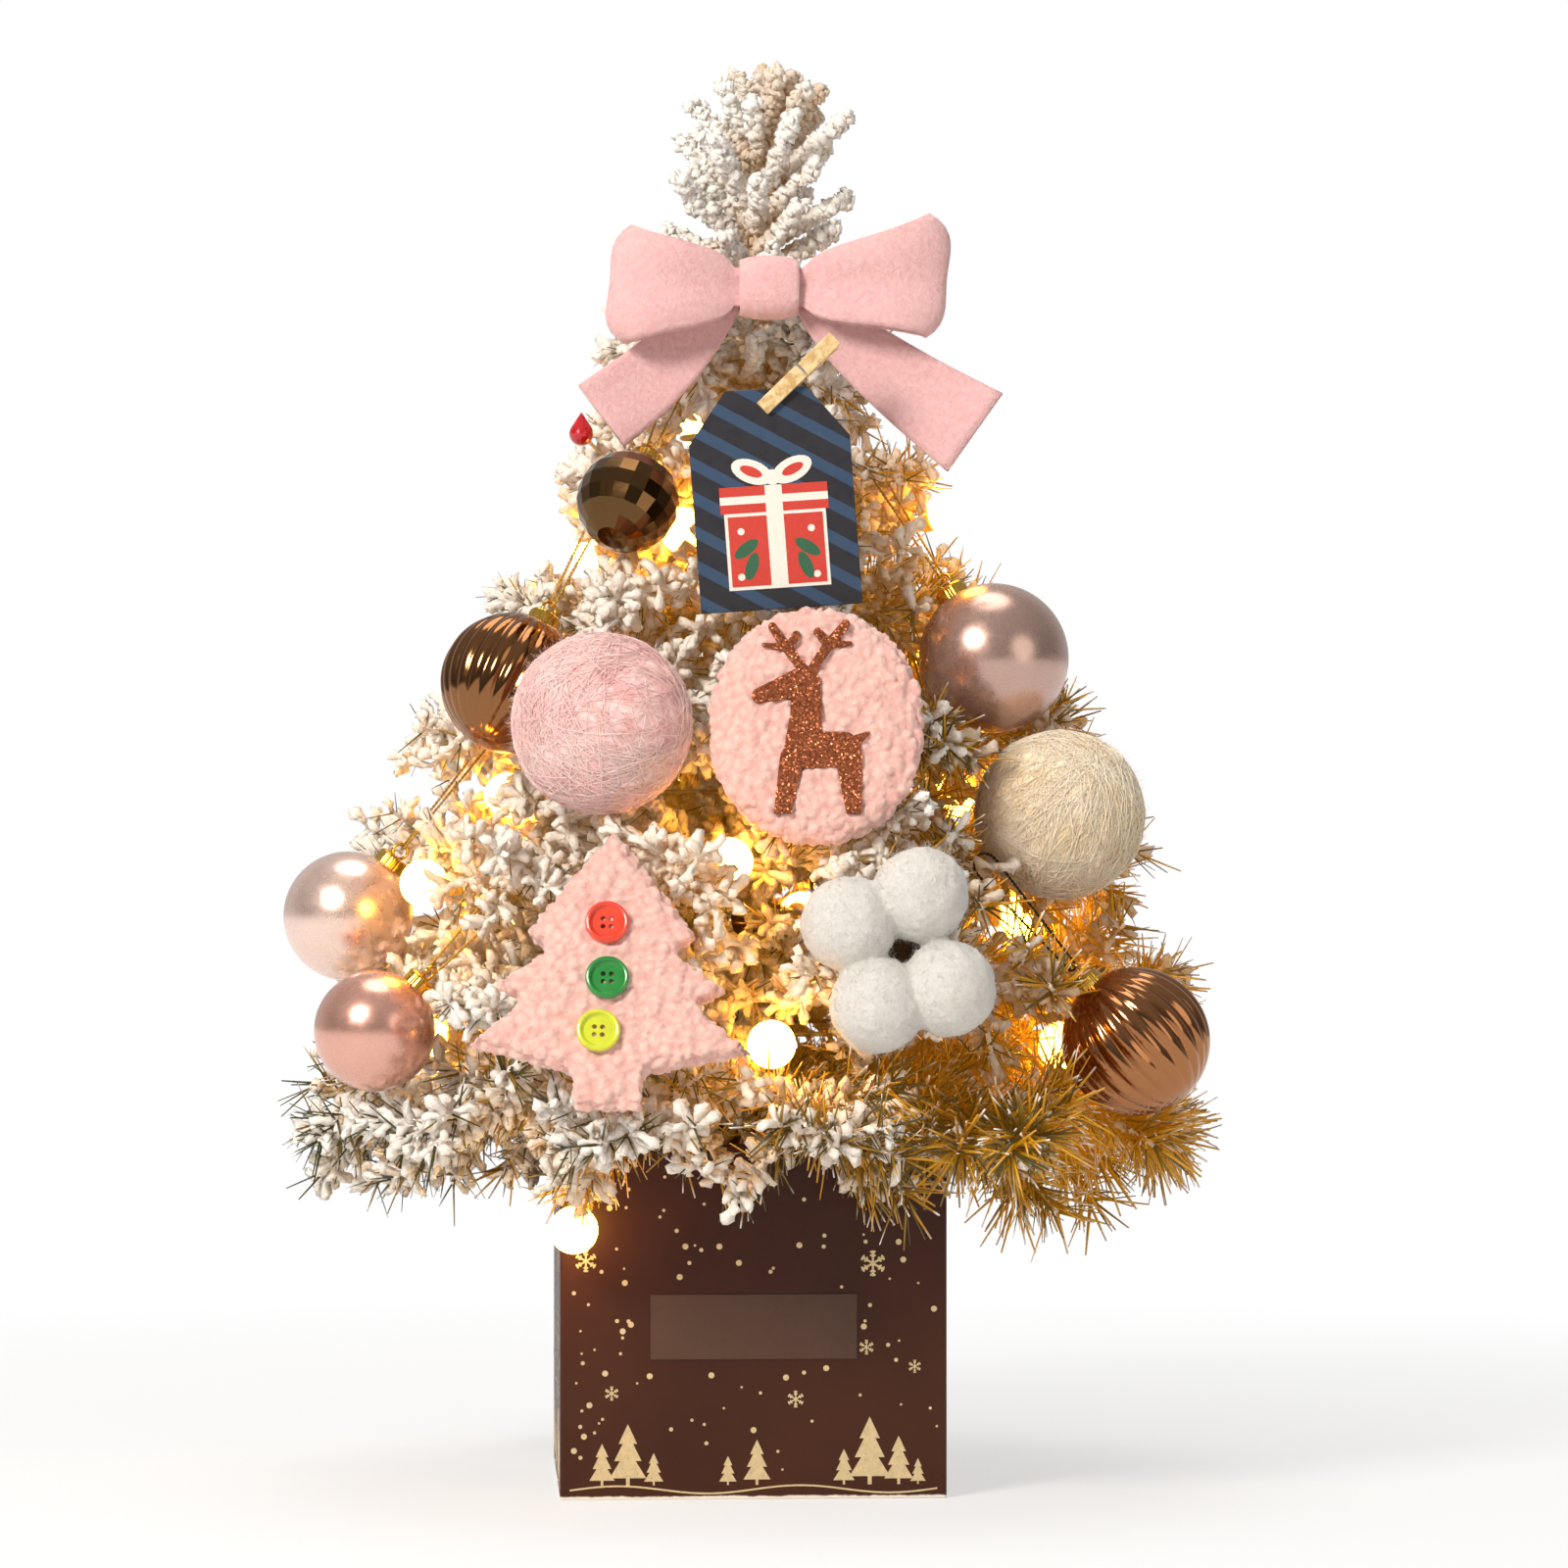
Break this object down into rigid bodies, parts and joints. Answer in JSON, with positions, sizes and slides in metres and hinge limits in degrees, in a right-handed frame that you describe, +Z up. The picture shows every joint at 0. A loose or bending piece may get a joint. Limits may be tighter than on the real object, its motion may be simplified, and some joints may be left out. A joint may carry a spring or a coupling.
{
  "type": "artificial tabletop tree",
  "caption": "Flocked artificial tabletop tree in a square gift box, with warm globe lights, felt bow, hung baubles, plush pads and a pegged card tag.",
  "frame": {"origin": "centre of the box's underside", "axes": "+Z up along the trunk, front of the box faces -Y"},
  "size_m": [0.2883, 0.2901, 0.4533],
  "materials": {
    "printed_board": "satin print",
    "label_board": "matte print",
    "cement": "rough",
    "foam": "open cell foam",
    "bark": "paper wrapped",
    "flocked_needles": "flocked over green",
    "light_wire": "satin",
    "frosted_globe": "frosted, lit warm",
    "light_socket": "clear cast",
    "case_plastic": "moulded",
    "cell_jacket": "satin",
    "spring_steel": "bright",
    "switch_black": "moulded",
    "felt": "pressed felt",
    "peg_wood": "raw",
    "tag_card": "printed",
    "plush": "sherpa pile",
    "glitter_copper": "glitter",
    "button_red": "gloss",
    "button_green": "gloss",
    "button_lime": "gloss",
    "cotton": "raw cotton",
    "husk": "dry husk",
    "pink_fibre": "brushed fibre",
    "white_fibre": "brushed fibre",
    "berry_red": "gloss",
    "tie_wire": "paper covered",
    "faceted_bronze": "mirror facets",
    "ribbed_bronze": "mirror",
    "ribbed_copper": "mirror",
    "pearl_taupe": "pearl",
    "pearl_pale": "pearl",
    "satin_rose": "satin",
    "gold_cap": "bright",
    "gold_cord": "twisted metallic thread",
    "dark_wire": "annealed"
  },
  "bodies": {
    "tree": {"gift_box": "printed_board", "ballast_block": "cement", "foam_block": "foam", "front_panel": "label_board", "trunk": "bark", "branch_tier_1": "flocked_needles", "branch_tier_2": "flocked_needles", "branch_tier_3": "flocked_needles", "branch_tier_4": "flocked_needles", "branch_tier_5": "flocked_needles", "branch_tier_6": "flocked_needles", "branch_tier_7": "flocked_needles", "leader_sprig": "flocked_needles", "light_wire": "light_wire", "light_globes": "frosted_globe", "light_sockets": "light_socket", "battery_case": "case_plastic", "battery_cells": "cell_jacket", "battery_contacts": "spring_steel", "bow_loops": "felt", "bow_tails": "felt", "bow_knot": "felt", "peg_rear_lever": "peg_wood", "peg_spring": "spring_steel", "gift_tag": "tag_card", "plush_disc": "plush", "reindeer": "glitter_copper", "plush_tree": "plush", "red_button": "button_red", "green_button": "button_green", "lime_button": "button_lime", "cotton_bolls": "cotton", "cotton_husk": "husk", "pink_fibre_ball": "pink_fibre", "white_fibre_ball": "white_fibre", "red_berry": "berry_red", "tie_wires": "tie_wire"},
    "battery_cover": {"battery_cover": "case_plastic"},
    "switch": {"switch_slider": "switch_black"},
    "peg_lever": {"peg_front_lever": "peg_wood"},
    "faceted_bauble": {"faceted_ball": "faceted_bronze", "faceted_cap": "gold_cap", "faceted_loop": "gold_cord"},
    "ribbed_left_bauble": {"ribbed_left_ball": "ribbed_bronze", "ribbed_left_cap": "gold_cap", "ribbed_left_loop": "gold_cord"},
    "ribbed_right_bauble": {"ribbed_right_ball": "ribbed_copper", "ribbed_right_cap": "gold_cap", "ribbed_right_loop": "dark_wire"},
    "pearl_right_bauble": {"pearl_right_ball": "pearl_taupe", "pearl_right_cap": "gold_cap", "pearl_right_loop": "gold_cord"},
    "pearl_left_bauble": {"pearl_left_ball": "pearl_pale", "pearl_left_cap": "gold_cap", "pearl_left_loop": "gold_cord"},
    "satin_bauble": {"satin_ball": "satin_rose", "satin_cap": "gold_cap", "satin_loop": "gold_cord"}
  },
  "joints": [
    {"name": "battery_cover_slide", "type": "slide", "parent": "tree", "child": "battery_cover", "axis": [0, 0, 1], "range_m": [0, 0.02]},
    {"name": "switch_slide", "type": "slide", "parent": "tree", "child": "switch", "axis": [1, 0, 0], "range_m": [0, 0.003]},
    {"name": "peg_open", "type": "hinge", "parent": "tree", "child": "peg_lever", "pos_m": [0.01233, -0.08069, 0.34682], "axis": [-0.6947, 0.0627, 0.7166], "range_deg": [0, 15], "stiffness_Nm_per_rad": 0.02, "springref_deg": -17.19},
    {"name": "faceted_swing", "type": "hinge", "parent": "tree", "child": "faceted_bauble", "pos_m": [-0.01844, -0.02492, 0.3569], "axis": [-0.5056, -0.8627, 0], "range_deg": [-10, 10]},
    {"name": "ribbed_left_swing", "type": "hinge", "parent": "tree", "child": "ribbed_left_bauble", "pos_m": [-0.04157, -0.024, 0.31762], "axis": [-0.6139, 0.7894, 0], "range_deg": [0, 18]},
    {"name": "ribbed_right_swing", "type": "hinge", "parent": "tree", "child": "ribbed_right_bauble", "pos_m": [0.07121, -0.06877, 0.1965], "axis": [0.0165, -0.9999, 0], "range_deg": [0, 18]},
    {"name": "pearl_right_swing", "type": "hinge", "parent": "tree", "child": "pearl_right_bauble", "pos_m": [0.04157, -0.024, 0.31762], "axis": [-0.4831, -0.8755, 0], "range_deg": [0, 18]},
    {"name": "pearl_left_swing", "type": "hinge", "parent": "tree", "child": "pearl_left_bauble", "pos_m": [-0.0803, -0.01663, 0.23711], "axis": [-0.0736, 0.9973, 0], "range_deg": [0, 18]},
    {"name": "satin_swing", "type": "hinge", "parent": "tree", "child": "satin_bauble", "pos_m": [-0.06877, -0.07121, 0.1965], "axis": [-0.0783, 0.9969, 0], "range_deg": [0, 18]}
  ]
}
